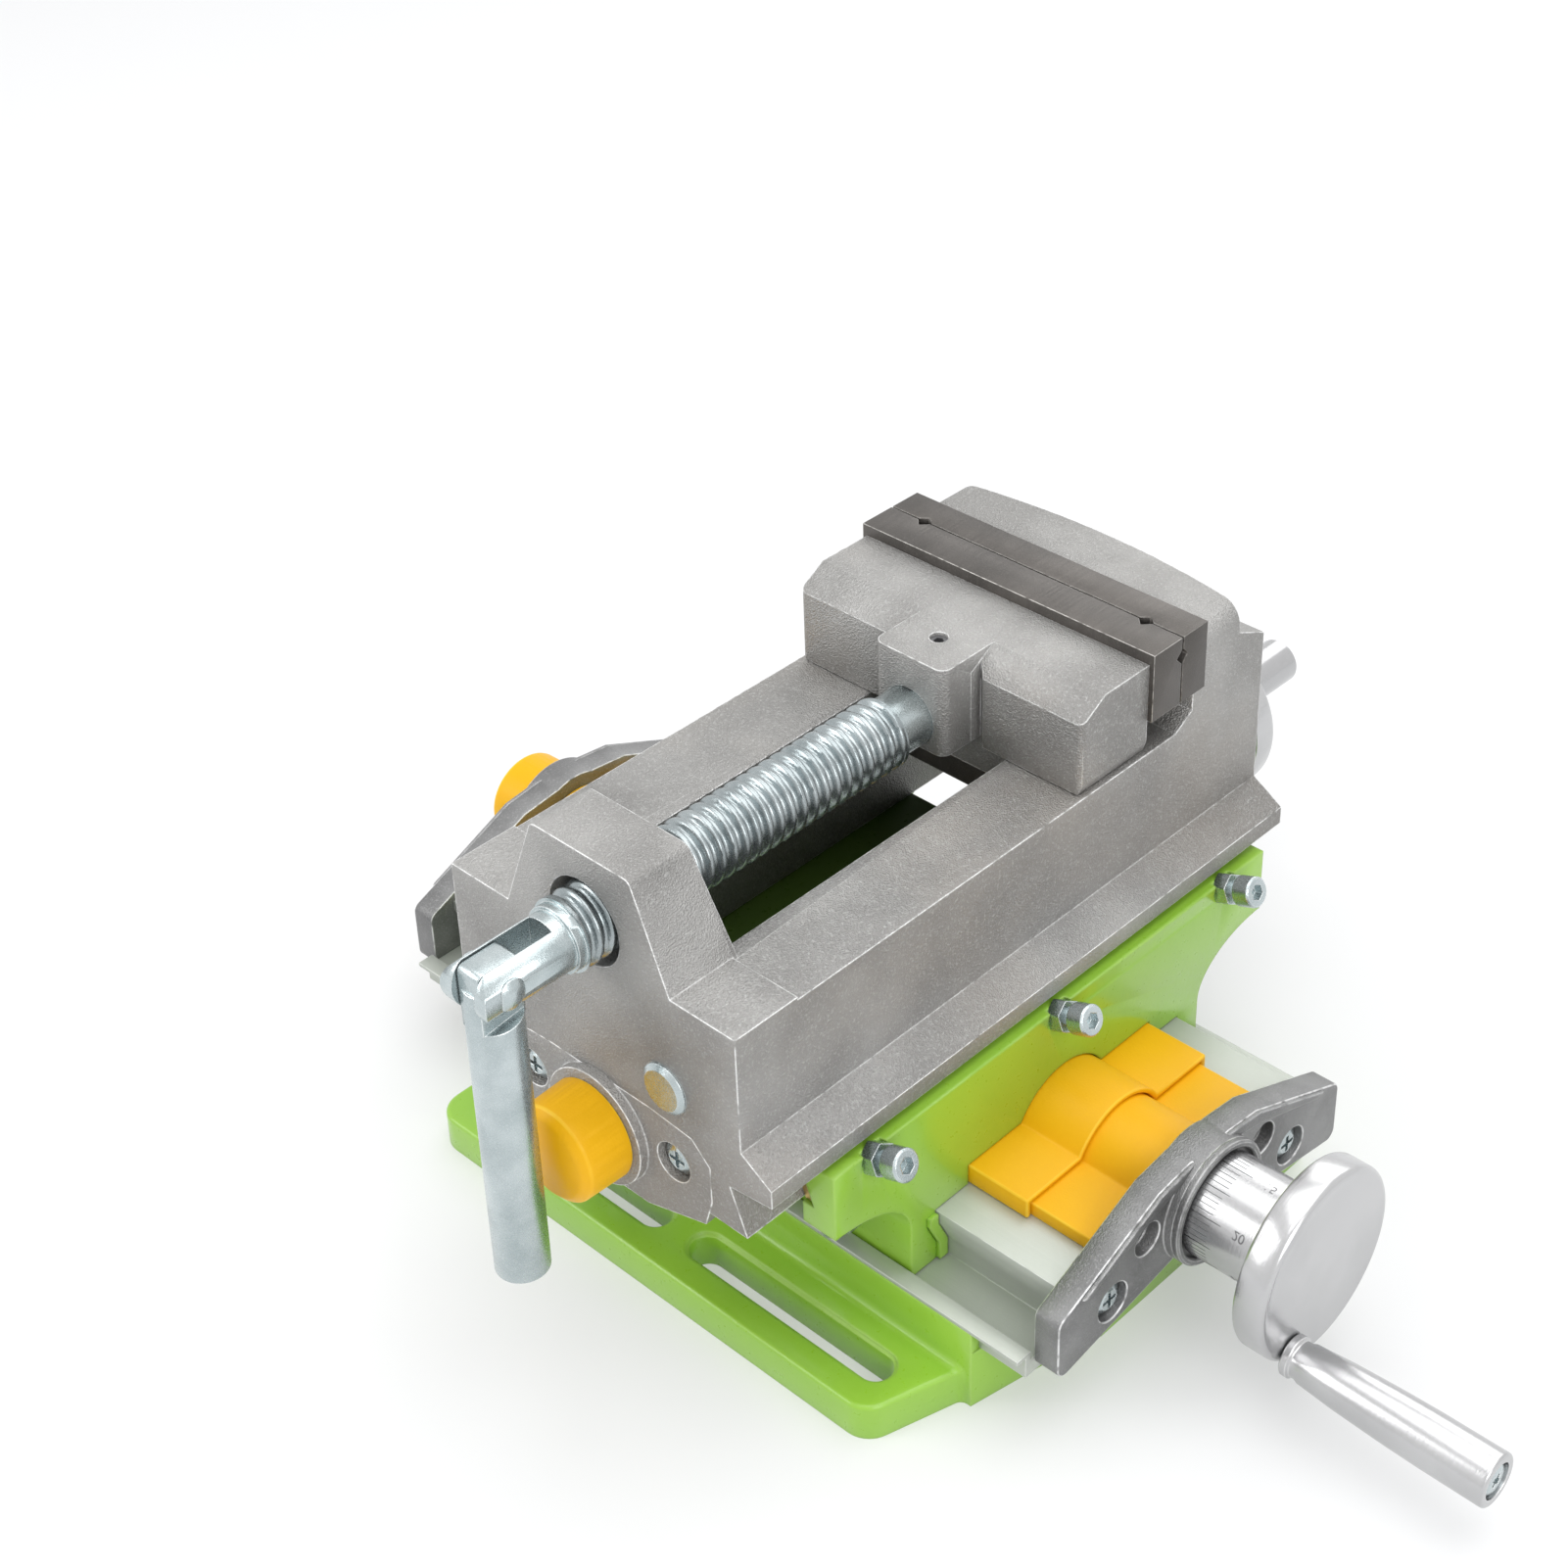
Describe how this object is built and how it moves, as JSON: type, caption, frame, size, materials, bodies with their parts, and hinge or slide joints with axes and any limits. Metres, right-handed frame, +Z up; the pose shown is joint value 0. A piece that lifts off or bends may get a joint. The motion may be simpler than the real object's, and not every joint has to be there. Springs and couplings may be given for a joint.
{
  "type": "cross slide vise",
  "caption": "Two-axis cross slide vise: slotted base and rail, saddle, sliding vise body, leadscrews with handwheels, a movable jaw driven by a screw with a hinged lever.",
  "frame": {"origin": "on the base's underside, below the middle of the lower rail", "axes": "+X along the lower rail towards its handwheel, +Y along the vise from the lever to the fixed jaw, +Z up"},
  "size_m": [0.3532, 0.3385, 0.1538],
  "materials": {
    "green_paint": "smooth gloss paint on cast metal",
    "cast_alloy": "sandblasted die casting",
    "plate_steel": "ground and blackened",
    "zinc_steel": "zinc plated",
    "turned_aluminium": "turned",
    "rail_aluminium": "satin extrusion",
    "yellow_plastic": "satin",
    "gib_brass": "plain"
  },
  "bodies": {
    "base": {"base": "green_paint", "rail": "rail_aluminium", "end_bracket_right": "cast_alloy", "end_bracket_left": "cast_alloy", "bracket_screws_right": "zinc_steel", "bracket_screws_left": "zinc_steel", "inner_cover_right": "yellow_plastic", "inner_cover_left": "yellow_plastic", "lower_end_cap": "yellow_plastic"},
    "lower_screw": {"lower_leadscrew": "zinc_steel", "lower_thimble": "turned_aluminium", "lower_handwheel": "turned_aluminium", "lower_grip_bolt": "zinc_steel"},
    "lower_grip": {"lower_grip": "turned_aluminium"},
    "outer_cover_right": {"outer_cover_right": "yellow_plastic"},
    "outer_cover_left": {"outer_cover_left": "yellow_plastic"},
    "saddle": {"saddle": "green_paint", "lower_leadscrew_nut": "gib_brass", "upper_leadscrew_nut": "gib_brass", "upper_gib": "gib_brass", "lower_gib": "green_paint", "upper_gib_screws": "zinc_steel", "upper_gib_nuts": "zinc_steel", "lower_gib_screws": "zinc_steel", "lower_gib_nuts": "zinc_steel"},
    "vise_body": {"vise_body": "cast_alloy", "body_plug": "zinc_steel", "front_bracket": "cast_alloy", "rear_bracket": "cast_alloy", "front_bracket_screws": "zinc_steel", "rear_bracket_screws": "zinc_steel", "front_end_cap": "yellow_plastic", "fixed_jaw_plate": "plate_steel", "fixed_plate_screws": "zinc_steel"},
    "upper_screw": {"upper_leadscrew": "zinc_steel", "upper_thimble": "turned_aluminium", "upper_handwheel": "turned_aluminium", "upper_grip_bolt": "zinc_steel"},
    "upper_grip": {"upper_grip": "turned_aluminium"},
    "movable_jaw": {"movable_jaw": "cast_alloy", "movable_jaw_plate": "plate_steel", "movable_plate_screws": "zinc_steel", "keeper_plate": "plate_steel", "keeper_screws": "zinc_steel", "jaw_set_screw": "zinc_steel"},
    "vise_screw": {"vise_screw": "zinc_steel", "lever_pin": "zinc_steel"},
    "lever": {"lever": "zinc_steel"}
  },
  "joints": [
    {"name": "saddle_slide", "type": "slide", "parent": "base", "child": "saddle", "axis": [1, 0, 0], "range_m": [-0.058, 0.034]},
    {"name": "lower_screw_spin", "type": "hinge", "parent": "base", "child": "lower_screw", "pos_m": [0, 0.013, 0.0404], "axis": [1, 0, 0], "continuous": true},
    {"name": "lower_grip_spin", "type": "hinge", "parent": "lower_screw", "child": "lower_grip", "pos_m": [0.145, 0.00003, 0.0208], "axis": [1, 0, 0], "continuous": true},
    {"name": "right_cover_slide", "type": "slide", "parent": "base", "child": "outer_cover_right", "axis": [1, 0, 0], "range_m": [-0.029, 0.017]},
    {"name": "left_cover_slide", "type": "slide", "parent": "base", "child": "outer_cover_left", "axis": [1, 0, 0], "range_m": [-0.029, 0.017]},
    {"name": "table_slide", "type": "slide", "parent": "saddle", "child": "vise_body", "axis": [0, 1, 0], "range_m": [-0.035, 0.035]},
    {"name": "upper_screw_spin", "type": "hinge", "parent": "vise_body", "child": "upper_screw", "pos_m": [0.0126, 0.013, 0.06995], "axis": [0, 1, 0], "continuous": true},
    {"name": "upper_grip_spin", "type": "hinge", "parent": "upper_screw", "child": "upper_grip", "pos_m": [-0.00037, 0.15, 0.05035], "axis": [0, 1, 0], "continuous": true},
    {"name": "jaw_slide", "type": "slide", "parent": "vise_body", "child": "movable_jaw", "axis": [0, 1, 0], "range_m": [-0.085, 0]},
    {"name": "vise_screw_spin", "type": "hinge", "parent": "movable_jaw", "child": "vise_screw", "pos_m": [0.0126, -0.02, 0.1323], "axis": [0, 1, 0], "continuous": true},
    {"name": "lever_swing", "type": "hinge", "parent": "vise_screw", "child": "lever", "pos_m": [0.0126, -0.1192, 0.1323], "axis": [-1, 0, 0], "range_deg": [0, 90]}
  ],
  "couplings": [
    {"joint": "lower_screw_spin", "follows": "saddle_slide", "rad_per_m": 2094.4},
    {"joint": "right_cover_slide", "follows": "saddle_slide", "ratio": 0.5},
    {"joint": "left_cover_slide", "follows": "saddle_slide", "ratio": 0.5},
    {"joint": "upper_screw_spin", "follows": "table_slide", "rad_per_m": -2094.4},
    {"joint": "vise_screw_spin", "follows": "jaw_slide", "rad_per_m": 1570.8}
  ]
}
